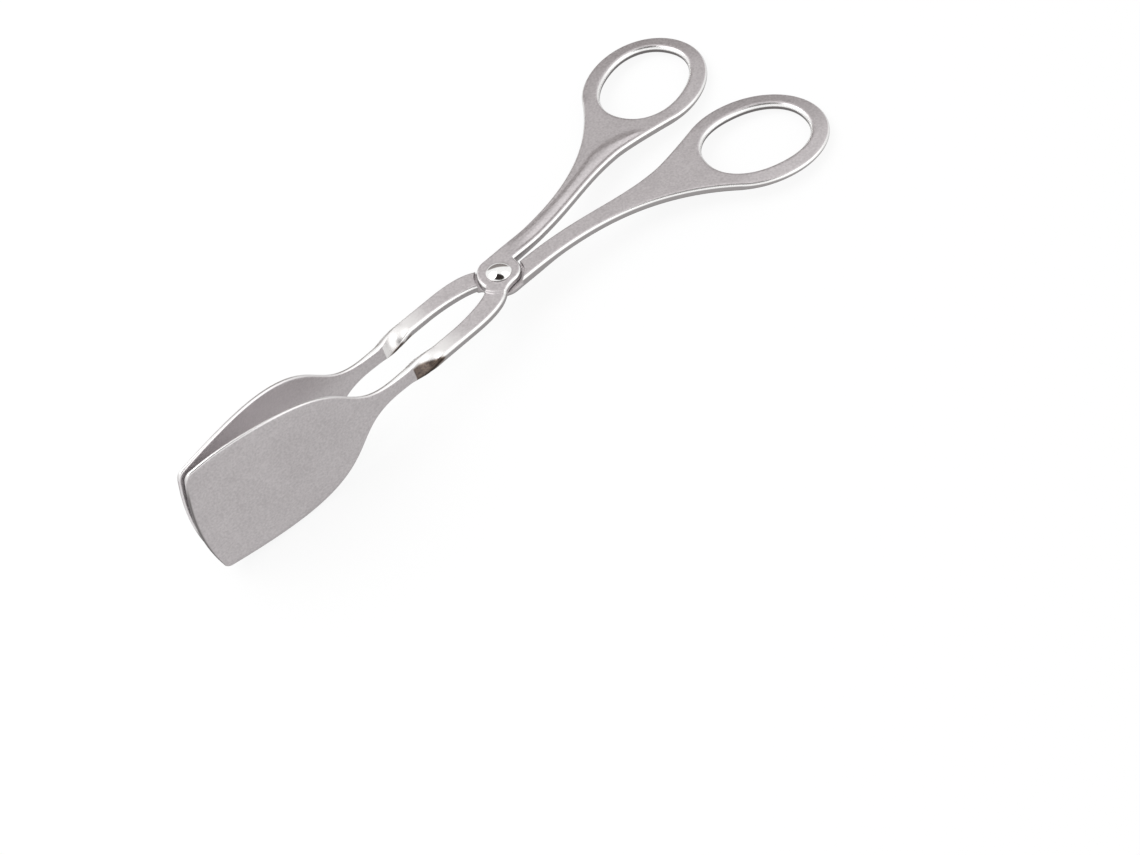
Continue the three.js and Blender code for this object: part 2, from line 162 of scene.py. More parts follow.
table_paint = bpy.data.materials.new("white_table_board")
table_paint.use_nodes = True
tree = table_paint.node_tree
tree.nodes.clear()
rays = add_node(tree, "ShaderNodeLightPath")
board = add_node(tree, "ShaderNodeBsdfDiffuse", Color=colour("F4F4F4"))
lit = add_node(tree, "ShaderNodeMath", {"operation": "MULTIPLY_ADD"},
               i0=rays.outputs["Is Glossy Ray"], i1=TABLE_IN_STEEL - 1, i2=1.0)
glow = add_node(tree, "ShaderNodeEmission", Color=ROOM_WHITE, Strength=lit.outputs[0])
seen = add_node(tree, "ShaderNodeMath", {"operation": "MAXIMUM"},
                i0=rays.outputs["Is Camera Ray"], i1=rays.outputs["Is Glossy Ray"])
through = add_node(tree, "ShaderNodeMath", {"operation": "MAXIMUM"},
                   i0=seen.outputs[0], i1=rays.outputs["Is Transmission Ray"])
share = add_node(tree, "ShaderNodeMath", {"operation": "MULTIPLY"},
                 i0=through.outputs[0], i1=1 - SHADOW_SHARE)
mixed = add_node(tree, "ShaderNodeMixShader", i0=share.outputs[0],
                 i1=board.outputs[0], i2=glow.outputs[0])
add_node(tree, "ShaderNodeOutputMaterial", Surface=mixed.outputs[0])

table_corners = [(x * TABLE_SIZE / 2, y * TABLE_SIZE / 2, 0)
                 for x, y in ((-1, -1), (1, -1), (1, 1), (-1, 1))]
table_mesh = bpy.data.meshes.new("table")
table_mesh.from_pydata(table_corners, [], [(0, 1, 2, 3)])
table_mesh.materials.append(table_paint)
table = bpy.data.objects.new("table", table_mesh)
table.location.z = -TABLE_DROP * MM
bpy.context.scene.collection.objects.link(table)

# One wide soft lamp hangs high behind the left of the blades, and gives the shadow its side.
LAMP_PLACE = (-0.35, 0.45, 0.9)
LAMP_SIZE = 0.9
LAMP_WATTS = 5.0
lamp = bpy.data.objects.new("soft_lamp", bpy.data.lights.new("soft_lamp", "AREA"))
lamp.data.shape = "DISK"
lamp.data.size = LAMP_SIZE
lamp.data.energy = LAMP_WATTS
back_to_lamp = np.array(LAMP_PLACE) / np.linalg.norm(LAMP_PLACE)
side = np.cross((0.0, 0.0, 1.0), back_to_lamp)
side /= np.linalg.norm(side)
lamp.matrix_world = Matrix.Translation(LAMP_PLACE) @ Matrix(
    np.stack([side, np.cross(back_to_lamp, side), back_to_lamp]).T.tolist()).to_4x4()
bpy.context.scene.collection.objects.link(lamp)

# Outline of the arms. Both arms are one stamping, cut from 2.5 mm stainless strip: an oval
# finger ring, a bowed shank, the round boss and a narrow neck. It is drawn for the upper arm.
STRIP = 2.5
EDGE_ROUND = 0.7
BOSS = 6.4
BOSS_FACE = 1.75
BOSS_STEP = 7.1
RING_PLACE = np.array([78.05, 20.45])
HOLE_LENGTH = 30.7
HOLE_WIDTH = 23.3
RING_BAND = 5.37
RING_TURN = np.radians(17.3)
HOLE_FULLNESS = 2.2
RING_FULLNESS = 2.03
HOLE_ROUND = 1.0
BAND_FALL = 0.45
OUTER_JOIN = np.radians(134.4)
INNER_JOIN = np.radians(-129.4)
CREST = np.array([52.2, 6.36])
SHANK_ROOT = np.array([6.27, 0.84])
NECK_WIDTH = 4.9
NECK_SPREAD = 6.53
NECK_END = 27.0
SHOULDER = 17.0
CROTCH = 22.0

# Places on the boss's outline, as shares of its radius, the last also of the neck's outer edge
BOSS_LEFT = (-0.91, -0.06)
BOSS_FRONT = (0.22, -0.77)
SHOULDER_MIDDLE = (-0.625, 0.72)
SHOULDER_SLOPE = 0.65

# Handles of the outline's curves, as shares of the run that each curve covers
RING_TO_BOSS = (0.455, 0.325)
BOSS_TO_LEFT = (0.5, 0.54)
LEFT_TO_CROTCH = (0.42, 0.5)
RING_TO_CREST = (0.72, 0.07)
CREST_TO_ROOT = (0.33, 0.46)
ROOT_TO_FRONT = (0.6, 0.5)
FRONT_TO_SHOULDER = (0.4, 0.28)
SHOULDER_TO_NECK = (0.23, 0.42)

# The turn in radians that shows which way an oval runs
SMALL_TURN = 1e-4

# Points along a curve, across the flat strip, round an edge and along each stretch of the outline
CURVE_POINTS = 400
ACROSS = 32
ROUND_STEPS = 5
SHANK_STEPS = 110
BOSS_STEPS = 60
CROTCH_STEPS = 120
NECK_STEPS = 10
RING_STEPS = 120
RING_ROWS = 6


def cubic(a, b, c, d, t):
    """A cubic Bezier: (1 - t)^3 a + 3 (1 - t)^2 t b + 3 (1 - t) t^2 c + t^3 d."""
    return (1 - t) ** 3 * a + 3 * (1 - t) ** 2 * t * b + 3 * (1 - t) * t ** 2 * c + t ** 3 * d


def bezier(corners, count=CURVE_POINTS):
    """A cubic Bezier curve with four corner points, as that many points from first to last."""
    return cubic(*(np.array(p, float) for p in corners), np.linspace(0, 1, count)[:, None])


def oval(angle, half_length, half_width, fullness):
    """A superellipse: radius = (|cos/a|^n + |sin/b|^n)^(-1/n) at each angle, turned and set at
    the ring's place."""
    reach = (np.abs(np.cos(angle) / half_length) ** fullness
             + np.abs(np.sin(angle) / half_width) ** fullness) ** (-1 / fullness)
    seen = angle + RING_TURN
    return RING_PLACE + reach[..., None] * np.stack([np.cos(seen), np.sin(seen)], axis=-1)


def ring_edge(angle):
    """The ring's outer edge: an oval one band wider all round than the hole."""
    return oval(angle, HOLE_LENGTH / 2 + RING_BAND, HOLE_WIDTH / 2 + RING_BAND, RING_FULLNESS)


def hole_edge(angle):
    """The finger hole's edge: a slightly fuller oval of the hole's length and width."""
    return oval(angle, HOLE_LENGTH / 2, HOLE_WIDTH / 2, HOLE_FULLNESS)


def left_of(edge, angle):
    """The unit vector to the left of an oval's run at each angle, from a small turn either way."""
    along = edge(angle + SMALL_TURN) - edge(angle - SMALL_TURN)
    along /= np.linalg.norm(along, axis=-1, keepdims=True)
    return np.stack([-along[..., 1], along[..., 0]], axis=-1)


def walk(points, count):
    """Points at equal steps of length along a line of points."""
    length = np.concatenate([[0], np.cumsum(np.linalg.norm(np.diff(points, axis=0), axis=1))])
    at = np.linspace(0, length[-1], count)
    return np.stack([np.interp(at, length, points[:, k]) for k in range(2)], axis=1)


def joined(pieces, counts):
    """Several lines in a row, each walked in its own number of equal steps."""
    parts = [walk(piece, count + 1)[:-1] for piece, count in zip(pieces, counts)]
    return np.concatenate(parts + [pieces[-1][-1:]])


ring_out, ring_in = ring_edge(np.array([OUTER_JOIN, INNER_JOIN]))
out_left, in_left = left_of(ring_edge, np.array([OUTER_JOIN, INNER_JOIN]))
out_aim = np.array([out_left[1], -out_left[0]])
in_aim = np.array([in_left[1], -in_left[0]])
neck_inner = NECK_WIDTH / 2 - NECK_SPREAD
neck_outer = -NECK_WIDTH / 2 - NECK_SPREAD
boss_left = np.array(BOSS_LEFT) * BOSS
boss_front = np.array(BOSS_FRONT) * BOSS
shoulder_middle = np.array([SHOULDER_MIDDLE[0] * BOSS, SHOULDER_MIDDLE[1] * neck_outer])

# The far edge: shank's outer side, top and left of the boss, inner side of the neck
far_pieces = [
    bezier([ring_out, ring_out + out_aim * ring_out[0] * RING_TO_BOSS[0],
            (ring_out[0] * RING_TO_BOSS[1], BOSS), (0, BOSS)]),
    bezier([(0, BOSS), (-BOSS * BOSS_TO_LEFT[0], BOSS),
            boss_left + (0, BOSS * BOSS_TO_LEFT[1]), boss_left]),
    bezier([boss_left, boss_left + (0, neck_inner * LEFT_TO_CROTCH[0]),
            (-CROTCH + (CROTCH + boss_left[0]) * LEFT_TO_CROTCH[1], neck_inner),
            (-CROTCH, neck_inner)]),
    np.array([(-CROTCH, neck_inner), (-NECK_END, neck_inner)], float),
]

# The near edge: shank's inner side, right and front of the boss, outer side of the neck
root_run = CREST[0] - SHANK_ROOT[0]
ring_run = ring_in[0] - CREST[0]
shoulder_run = SHOULDER + shoulder_middle[0]
slope = np.array([1.0, SHOULDER_SLOPE])
front_run = boss_front[0] - shoulder_middle[0]
near_pieces = [
    np.concatenate([
        bezier([ring_in, ring_in - in_aim * ring_run * RING_TO_CREST[0],
                CREST + (ring_run * RING_TO_CREST[1], 0), CREST]),
        bezier([CREST, CREST - (root_run * CREST_TO_ROOT[0], 0),
                SHANK_ROOT + (root_run * CREST_TO_ROOT[1], 0), SHANK_ROOT])[1:],
    ]),
    bezier([SHANK_ROOT, SHANK_ROOT + (0, (boss_front[1] - SHANK_ROOT[1]) * ROOT_TO_FRONT[0]),
            boss_front + ((SHANK_ROOT[0] - boss_front[0]) * ROOT_TO_FRONT[1], 0), boss_front]),
    np.concatenate([
        bezier([boss_front, boss_front - (front_run * FRONT_TO_SHOULDER[0], 0),
                shoulder_middle + slope * front_run * FRONT_TO_SHOULDER[1], shoulder_middle]),
        bezier([shoulder_middle, shoulder_middle - slope * shoulder_run * SHOULDER_TO_NECK[0],
                (-SHOULDER + shoulder_run * SHOULDER_TO_NECK[1], neck_outer),
                (-SHOULDER, neck_outer)])[1:],
        np.array([(-CROTCH, neck_outer)], float),
    ]),
    np.array([(-CROTCH, neck_outer), (-NECK_END, neck_outer)], float),
]

counts = [SHANK_STEPS, BOSS_STEPS, CROTCH_STEPS, NECK_STEPS]
far_edge = joined(far_pieces, counts)
near_edge = joined(near_pieces, counts)


def inward(edge, side):
    """Unit vectors across an edge into the steel: its run turned a quarter turn to that side."""
    along = np.gradient(edge, axis=0)
    along /= np.linalg.norm(along, axis=1, keepdims=True)
    return side * np.stack([-along[:, 1], along[:, 0]], axis=1)


far_in = inward(far_edge, 1)
near_in = inward(near_edge, -1)
far_in[0], near_in[0] = out_left, in_left
far_in[-1], near_in[-1] = (0, -1), (0, 1)

# The rounding of every edge: inset from the wall and drop below the face, as shares of its size.
# It is a superellipse of power 1.5, between a quarter round and a chamfer. A painted highlight
# comes in over the first pair of slopes, in degrees from the face, and goes again over the second.
ROUND_POWER = 1.5
SLOPE_BRIGHT = (22, 42)
SLOPE_WALL = (76, 90)
bend = np.linspace(0, np.pi / 2, ROUND_STEPS + 1)
inset = 1 - np.cos(bend).clip(0) ** (2 / ROUND_POWER)
drop = 1 - np.sin(bend).clip(0) ** (2 / ROUND_POWER)
row_drop = np.concatenate([drop, np.zeros(ACROSS - 1), drop[::-1]])
row_wall = np.concatenate([[1.0], np.zeros(len(row_drop) - 2), [1.0]])


def smoothstep(value, low, high):
    """0 below low, 1 above high and 3 t^2 - 2 t^3 between them."""
    t = np.clip((value - low) / (high - low), 0, 1)
    return t * t * (3 - 2 * t)


# Share of each rounding row that is smoother and painted bright: satin where it leaves the face, a
# painted highlight round its middle
round_slope = 90 - np.degrees(bend)
bevel = smoothstep(round_slope, *SLOPE_BRIGHT) * (1 - smoothstep(round_slope, *SLOPE_WALL))
row_bevel = np.concatenate([bevel, np.zeros(ACROSS - 1), bevel[::-1]])

# Rows across the flat strip at every station: rounding rows square to each edge, and even rows
# between them
far_rows = far_edge[:, None] + far_in[:, None] * (inset * EDGE_ROUND)[None, :, None]
near_rows = near_edge[:, None] + near_in[:, None] * (inset * EDGE_ROUND)[None, :, None]
between = np.linspace(0, 1, ACROSS + 1)[None, :, None]
middle_rows = far_rows[:, -1:] * (1 - between) + near_rows[:, -1:] * between

# Where the shank meets the ring, its first rows are bent out to the ring's own curve
MEET_LEAN = np.radians(20)
MEET_REACH = 17.0
MEET_FADE = 22.0
lean_out = np.array([[np.cos(MEET_LEAN), -np.sin(MEET_LEAN)],
                     [np.sin(MEET_LEAN), np.cos(MEET_LEAN)]])
meet = bezier([far_rows[0, -1], far_rows[0, -1] + lean_out @ out_aim * MEET_REACH,
               near_rows[0, -1] - lean_out.T @ in_aim * MEET_REACH, near_rows[0, -1]], ACROSS + 1)
gone = np.concatenate([[0], np.cumsum(np.linalg.norm(np.diff(far_edge, axis=0), axis=1))])
fade = 1 - smoothstep(gone, 0, MEET_FADE)
middle_rows = middle_rows + fade[:, None, None] * (meet - middle_rows[0])[None]
flat_rows = np.concatenate([far_rows[:, :-1], middle_rows, near_rows[:, ::-1][:, 1:]], axis=1)

# Height of the arm's outer face: the boss stands proud and runs out along the shank, whose inner
# side is pressed up into a low rib from the boss to the web
STEP_IN = 0.45
STEP_OUT = 0.05
RAMP_FROM = 6.0
RAMP_TO = 17.0
RIB = 0.42
RIB_SLOPE = 1.6
RIB_WEB_SLOPE = 3.4
RIB_WEB = (45.0, 57.0)
RIB_START = np.array([6.27, 5.1])
RIB_CREST = np.array([47.3, 11.4])
RIB_END = np.array([61.0, CREST[1]])
RIB_HANDLES = (0.6, 0.05)
RIB_END_HANDLES = (0.56, 0.43)
RIB_POINTS = (120, 80)
RIB_FALL = (3.6, 1.6)
GROOVE = 0.13
GROOVE_IN = (2.4, 1.5)
GROOVE_OUT = (1.4, 0.8)


def face_height(spots):
    """Half the strip, plus the boss's step inside the step circle or on the ramp beyond it."""
    away = np.linalg.norm(spots, axis=-1)
    disc = 1 - smoothstep(away, BOSS_STEP - STEP_IN, BOSS_STEP + STEP_OUT)
    ramp = np.where(spots[..., 0] > 0, 1 - smoothstep(spots[..., 0], RAMP_FROM, RAMP_TO), 0)
    return STRIP / 2 + (BOSS_FACE - STRIP / 2) * np.maximum(disc, ramp)


rib_run = RIB_CREST[0] - RIB_START[0]
rib_fall = RIB_END - RIB_CREST
rib_line = np.concatenate([
    bezier([RIB_START, RIB_START + (rib_run * RIB_HANDLES[0], 0),
            RIB_CREST - (rib_run * RIB_HANDLES[1], 0), RIB_CREST], RIB_POINTS[0]),
    bezier([RIB_CREST, RIB_CREST + (rib_fall[0] * RIB_END_HANDLES[0], 0),
            RIB_END - (0, rib_fall[1] * RIB_END_HANDLES[1]), RIB_END], RIB_POINTS[1])[1:],
])


def rib_height(spots, edge_away):
    """The rib's rise times a smooth step over its slope, by the distance inside its line. Towards
    the shank's inner edge it falls again into a shallow groove, by the way left to the edge."""
    away = np.linalg.norm(spots[..., None, :] - rib_line, axis=-1).min(axis=-1)
    line = np.interp(spots[..., 0], rib_line[:, 0], rib_line[:, 1], left=-1, right=-1)
    inside = spots[..., 1] < line
    half_slope = (RIB_SLOPE + (RIB_WEB_SLOPE - RIB_SLOPE) * smoothstep(spots[..., 0], *RIB_WEB)) / 2
    rise = smoothstep(np.where(inside, away, -away), -half_slope, half_slope)
    fall = smoothstep(-edge_away, -RIB_FALL[0], -RIB_FALL[1])
    groove = (smoothstep(-edge_away, -GROOVE_IN[0], -GROOVE_IN[1])
              - smoothstep(-edge_away, -GROOVE_OUT[0], -GROOVE_OUT[1]))
    past_boss = smoothstep(spots[..., 0], BOSS_STEP, RAMP_TO)
    return (RIB * rise * (1 - fall) - GROOVE * rise * groove) * past_boss


near_away = np.linalg.norm(flat_rows - near_edge[:, None], axis=-1)
top_height = face_height(flat_rows) + rib_height(flat_rows, near_away)
flat_top = np.dstack([flat_rows, top_height - row_drop * EDGE_ROUND])
flat_low = np.dstack([flat_rows, np.full_like(top_height, -STRIP / 2) + row_drop * EDGE_ROUND])

# Neck's twist and blade. Ahead of the neck the strip is turned a quarter turn on its own length,
# then it flares into a thin blade, bent inwards so that the two tips meet like a bird's bill.
TWIST = 11.5
BLADE_SPREAD = 5.72
FLARE = 40.9
BROAD = 84.7
BLADE_HEIGHT = 37.54
TIP_HEIGHT = 35.0
BLADE_STEEL = 1.15
BLADE_ROUND = 0.42
THIN = 50.0
BEND = 47.7
JAW = 101.4
TIP_GAP = 0.3
TIP_SET = 2.7
TIP_BULGE = 2.2
TIP_CORNER = 1.9
TIP_LEAN = 0.05
THINNEST = 0.02
BOW_START = 0.4
FLARE_HANDLES = (0.44, 0.785)
BEND_HANDLES = (0.5, 0.33)

TWIST_STEPS = 50
FLARE_STEPS = 64
TIP_STEPS = 24
CORNER_STEPS = 10

twist_end = NECK_END + TWIST
half_neck = NECK_WIDTH / 2
t = np.linspace(0, 1, FLARE_STEPS + 1)
flare_run = BROAD - FLARE
flare_reach = cubic(FLARE, FLARE + flare_run * FLARE_HANDLES[0],
                    BROAD - flare_run * FLARE_HANDLES[1], BROAD, t)
flare_half = cubic(half_neck, half_neck, BLADE_HEIGHT / 2, BLADE_HEIGHT / 2, t)
blade_end = JAW - TIP_SET
corner_start = blade_end - TIP_CORNER
corner = np.linspace(0, np.pi / 2, CORNER_STEPS + 1)[1:]
twist_reach = np.linspace(NECK_END, FLARE, TWIST_STEPS + 1)[1:-1]
tip_reach = np.linspace(BROAD, corner_start, TIP_STEPS + 1)[1:]
corner_reach = corner_start + TIP_CORNER * np.sin(corner)
reach = np.concatenate([twist_reach, flare_reach, tip_reach, corner_reach])


def tapered(reach):
    """Half height of the blade past its broadest place: it loses a share that grows with the
    square of the way."""
    gone = np.clip((reach - BROAD) / (blade_end - BROAD), 0, 1)
    return BLADE_HEIGHT / 2 - (BLADE_HEIGHT - TIP_HEIGHT) / 2 * gone ** 2


half = np.concatenate([np.full(len(twist_reach), half_neck), flare_half, tapered(tip_reach),
                       tapered(corner_reach) - TIP_CORNER * (1 - np.cos(corner))])

bend_t = np.linspace(0, 1, CURVE_POINTS)
bend_run = JAW - BEND
tip_spread = (TIP_GAP + BLADE_STEEL) / 2
bend_reach = cubic(BEND, BEND + bend_run * BEND_HANDLES[0],
                   JAW - bend_run * BEND_HANDLES[1], JAW, bend_t)
bend_spread = cubic(BLADE_SPREAD, BLADE_SPREAD,
                    tip_spread + bend_run * BEND_HANDLES[1] * TIP_LEAN, tip_spread, bend_t)
twist_share = smoothstep(reach, NECK_END, twist_end)
spread = np.where(reach < twist_end, NECK_SPREAD + (BLADE_SPREAD - NECK_SPREAD) * twist_share,
                  np.interp(reach, bend_reach, bend_spread))
roll = np.pi / 2 * twist_share
thin = smoothstep(reach, NECK_END, THIN)
steel = STRIP + (BLADE_STEEL - STRIP) * thin
rounding = EDGE_ROUND + (BLADE_ROUND - EDGE_ROUND) * thin

# The blade's end is rounded in its thickness too: the last stations pull the faces together
into_end = (reach - blade_end + BLADE_ROUND) / BLADE_ROUND
end_drop = np.where(reach > blade_end - BLADE_ROUND,
                    1 - np.sqrt(np.clip(1 - into_end ** 2, 0, 1)), 0)
flat_half = half - rounding
across = np.concatenate([
    half[:, None] - inset[None, :-1] * rounding[:, None],
    flat_half[:, None] * (1 - 2 * np.linspace(0, 1, ACROSS + 1))[None],
    -half[:, None] + (inset[::-1][None, 1:] * rounding[:, None]),
], axis=1)
out = (steel / 2)[:, None] - row_drop[None] * rounding[:, None]
out = np.maximum(out - end_drop[:, None] * BLADE_ROUND, THINNEST)
bow = smoothstep(reach, BROAD * BOW_START, blade_end)


def blade_points(across, out):
    """The strip turned by its roll about its own length and set out by its spread. Its end is
    bowed forward by tip bulge x bow squared x (1 - (across / half) squared)."""
    stretch = 1 - (across / half[:, None]) ** 2
    cos, sin = np.cos(roll)[:, None], np.sin(roll)[:, None]
    x = -reach[:, None] - TIP_BULGE * (bow ** 2)[:, None] * stretch
    y = -spread[:, None] + across * cos - out * sin
    z = across * sin + out * cos
    return np.stack([x, y, z], axis=2)


blade_top = blade_points(across, out)
blade_low = blade_points(across, -out)

# Skin of one arm: the strip from ring to tip as one sleeve of rows, outer face then inner face back
arm_top = np.concatenate([flat_top, blade_top])
arm_low = np.concatenate([flat_low, blade_low])
sleeve = np.concatenate([arm_top, arm_low[:, ::-1]], axis=1)

# The ring's own rows: rounding at its outer edge, flat band, rounding and wall of the finger hole
turn_free = np.linspace(INNER_JOIN, OUTER_JOIN, RING_STEPS + 1)
turn_met = np.linspace(OUTER_JOIN, INNER_JOIN + 2 * np.pi, ACROSS + 1)


def hole_rows(angle):
    """Rounding rows of the finger hole, from the flat to the wall."""
    edge, into = hole_edge(angle), -left_of(hole_edge, angle)
    return edge[:, None] + into[:, None] * (inset[::-1] * HOLE_ROUND)[None, :, None]


def band_rows(outer, angle):
    """Rows across the band at each angle, from an outer line to the hole's rounding, and then
    that rounding."""
    rows = hole_rows(angle)
    share = np.linspace(0, 1, RING_ROWS + 1)[None, :, None]
    return np.concatenate([outer[:, None] * (1 - share) + rows[:, :1] * share, rows[:, 1:]], axis=1)


def both_faces(rows, falls):
    """A loop round the band's section: the outer face's rows at half the strip less their fall
    in mm, then the inner face's rows back."""
    height = np.broadcast_to(STRIP / 2 - falls, rows.shape[:2])
    return np.concatenate([np.dstack([rows, height]), np.dstack([rows, -height])[:, ::-1]], axis=1)


# The free band slopes down from the hole to its outer edge, less and less where it nears the web
fall_share = np.sin(np.linspace(0, np.pi, RING_STEPS + 1)) ** 0.5
outer_fall = BAND_FALL * fall_share[:, None]
crown = outer_fall * (1 - np.linspace(0, 1, RING_ROWS + 1))[None]
hole_fall = drop[::-1][1:] * HOLE_ROUND
free_edge, free_in = ring_edge(turn_free), left_of(ring_edge, turn_free)
free_round = free_edge[:, None] + free_in[:, None] * (inset * EDGE_ROUND)[None, :, None]
free_rows = np.concatenate([free_round[:, :-1], band_rows(free_round[:, -1], turn_free)], axis=1)
edge_fall = drop[:-1] * EDGE_ROUND
free_falls = [edge_fall[None] + outer_fall, crown, np.tile(hole_fall, (len(crown), 1))]
free_ring = both_faces(free_rows, np.concatenate(free_falls, axis=1))
met_falls = np.concatenate([np.zeros(RING_ROWS + 1), hole_fall])
met_ring = both_faces(band_rows(meet, turn_met), met_falls)


def marks(grid, bevel, wall):
    """Each row's share of painted highlight on the edge and of wall tone and painted shade, for
    both faces of a grid of rows.
    """
    rows = [np.concatenate([values, values[::-1]]) for values in (bevel, wall)]
    return [np.broadcast_to(row, grid.shape[:2]) for row in rows]


# A sheared wall is marked 1, and 2 where painted shade darkens it, as in the finger holes
free_marks = marks(free_ring,
                   np.concatenate([bevel[:-1], np.zeros(RING_ROWS + 1), bevel[::-1][1:]]),
                   np.concatenate([[1.0], np.zeros(free_rows.shape[1] - 2), [2.0]]))
met_marks = marks(met_ring, np.concatenate([np.zeros(RING_ROWS + 1), bevel[::-1][1:]]),
                  np.concatenate([np.zeros(RING_ROWS + ROUND_STEPS), [2.0]]))
sleeve_marks = marks(sleeve, row_bevel, row_wall)
# Past the neck the walls take the painted highlight in place of the wall tone
past_neck = smoothstep(-sleeve[:, ACROSS, 0], NECK_END, twist_end)[:, None]
sleeve_marks = [np.maximum(sleeve_marks[0], sleeve_marks[1] * past_neck),
                sleeve_marks[1] * (1 - past_neck)]

# A dark reflection is painted in brown on the polished strip: on the outer face below a line that
# climbs towards the blade, on the inner face along the lower edge only. Places are reach and share
# of half width, and the value goes on to 2 at the lower edge, where the painted reflection is
# darkest.
REFLECTION_SOFT = 0.16
REFLECTION_DEEP = (-1.0, -0.55)
REFLECTION_OUTSIDE = [(27.2, -1.16), (28.6, -0.9), (30.3, -0.4), (32.3, 0.15), (34.3, 0.5), (36.4, 0.7)]
REFLECTION_INSIDE = [(30.0, -1.16), (31.5, -0.85), (33.5, -0.7), (35.0, -0.8), (36.4, -0.95)]


def reflection_share(line, up):
    """1 below the line, with a soft limit, and up to 2 at the lower edge, by the share of the half
    width. Up is 1 where the far edge is turned up, and -1 where it is turned down."""
    top = np.interp(reach, *np.transpose(line))[:, None]
    share = up * across / half[:, None]
    below = 1 - smoothstep(share, top - REFLECTION_SOFT, top + REFLECTION_SOFT)
    tint = below * (2 - smoothstep(share, *REFLECTION_DEEP))
    return np.concatenate([np.zeros((len(flat_top), tint.shape[1])), tint])


# The upper arm's far edge is turned up and the lower arm's is turned down
upper_reflection, lower_reflection = (
    np.concatenate([reflection_share(REFLECTION_OUTSIDE, up), reflection_share(REFLECTION_INSIDE, up)[:, ::-1]], axis=1)
    for up in (1, -1))

# How far each point is from the blade's edge in mm, and which points are on its inner face, where
# light is painted in. The points behind the neck have no such edge, and the rings' points stand
# well behind the blades.
NO_EDGE = 9.0
RING_STATION = -60.0
INNER_LIGHT_FADE = 20.0
blade_gap = np.minimum(half[:, None] - np.abs(across), (blade_end - reach)[:, None])
edge_gap = np.concatenate([np.full(flat_top.shape[:2], NO_EDGE), np.maximum(blade_gap, 0)])
edge_gap = np.concatenate([edge_gap, edge_gap[:, ::-1]], axis=1)
painted_inner_light = np.zeros(sleeve.shape[:2])
inner_light_share = smoothstep(reach, THIN, THIN + INNER_LIGHT_FADE)
painted_inner_light[len(flat_top):, arm_top.shape[1] + 1:-1] = inner_light_share[:, None]


def quads(rows, columns, first, closed):
    """Faces of a grid of rows x columns points numbered from first. A closed one has its last
    column joined to its first."""
    index = first + np.arange(rows * columns).reshape(rows, columns)
    if closed:
        index = np.concatenate([index, index[:, :1]], axis=1)
    corners = [index[:-1, :-1], index[1:, :-1], index[1:, 1:], index[:-1, 1:]]
    return np.stack(corners, axis=-1).reshape(-1, 4)


# The three grids in one list of points; the tip is closed by quads between its two faces
grids = [sleeve, free_ring, met_ring]
firsts = np.concatenate([[0], np.cumsum([g.shape[0] * g.shape[1] for g in grids])])
faces = [quads(sleeve.shape[0], sleeve.shape[1], 0, True),
         quads(free_ring.shape[0], free_ring.shape[1], firsts[1], True),
         quads(met_ring.shape[0], met_ring.shape[1], firsts[2], False)]
last = (sleeve.shape[0] - 1) * sleeve.shape[1]
rows = arm_top.shape[1]
near = np.arange(rows - 1)
faces.append(last + np.stack([near, 2 * rows - 1 - near, 2 * rows - 2 - near, near + 1], axis=1))
points = np.concatenate([g.reshape(-1, 3) for g in grids])
faces = np.concatenate(faces)
mark_lists = [np.concatenate([m[k].ravel() for m in (sleeve_marks, free_marks, met_marks)])
              for k in range(2)]
ring_count = free_ring.shape[0] * free_ring.shape[1] + met_ring.shape[0] * met_ring.shape[1]
more_lists = [np.concatenate([grid.ravel(), np.full(ring_count, away)]) for grid, away in
              ((upper_reflection, 0.0), (lower_reflection, 0.0), (painted_inner_light, 0.0), (edge_gap, NO_EDGE))]
station = np.concatenate([np.repeat(-sleeve[:, ACROSS, 0], sleeve.shape[1]),
                          np.full(ring_count, RING_STATION)])

# Points nearer than one step of this grid are one point
STEPS_PER_MM = 1e4


def merged(points, faces, values):
    """Points of one place, to a tenth of a micron, become one point. A face that loses a corner
    becomes a triangle, and one that loses more goes."""
    key = np.round(points * STEPS_PER_MM).astype(np.int64)
    _, pick, back = np.unique(key, axis=0, return_index=True, return_inverse=True)
    faces = back.reshape(-1)[faces]
    flat = (faces == np.roll(faces, 1, axis=1)).sum(axis=1)
    whole = faces[flat == 0]
    corners = faces[flat == 1]
    lone = [list(dict.fromkeys(face)) for face in corners.tolist()]
    return points[pick], whole.tolist() + lone, [value[pick] for value in values]


arm_points, arm_faces, arm_values = merged(points, faces, [*mark_lists, station, *more_lists])

# Each arm is cut away to half its thickness round the rivet, so that the two lap flush, and is
# drilled for the rivet with a little room to turn.
RUNNING_GAP = 0.3
RIVET = 2.0
LAP_SIDES = 160
CUT_REACH = 4.0
CUT_NEAR = 0.005
CUT_JOIN = 0.002
SHARP = np.radians(33)
MARKS = ("polish_and_painted_highlight", "wall_and_painted_shade", "twist_polish", "painted_dark_reflection", "painted_inner_light")


def lathe(profile, sides):
    """A profile of radius and height points turned about the rivet: x = r cos, y = r sin. The
    poles are single points."""
    radius, height = np.array(profile, float).T
    angle = np.linspace(0, 2 * np.pi, sides, endpoint=False)
    points = np.dstack([radius[:, None] * np.cos(angle), radius[:, None] * np.sin(angle),
                        np.repeat(height[:, None], sides, axis=1)])
    rows, columns = points.shape[:2]
    return merged(points.reshape(-1, 3), quads(rows, columns, 0, True)[:, ::-1], [])


def steel_mesh(name, points, faces, values=()):
    """A piece of that name with its mesh in the row frame and one value list for each mark."""
    mesh = bpy.data.meshes.new(name)
    mesh.from_pydata(placed(points).tolist(), [], faces)
    for mark, value in zip(MARKS, values):
        layer = mesh.attributes.new(mark, "FLOAT", "POINT")
        layer.data.foreach_set("value", value.astype(np.float32))
    mesh.validate()
    piece = bpy.data.objects.new(name, mesh)
    bpy.context.scene.collection.objects.link(piece)
    return piece


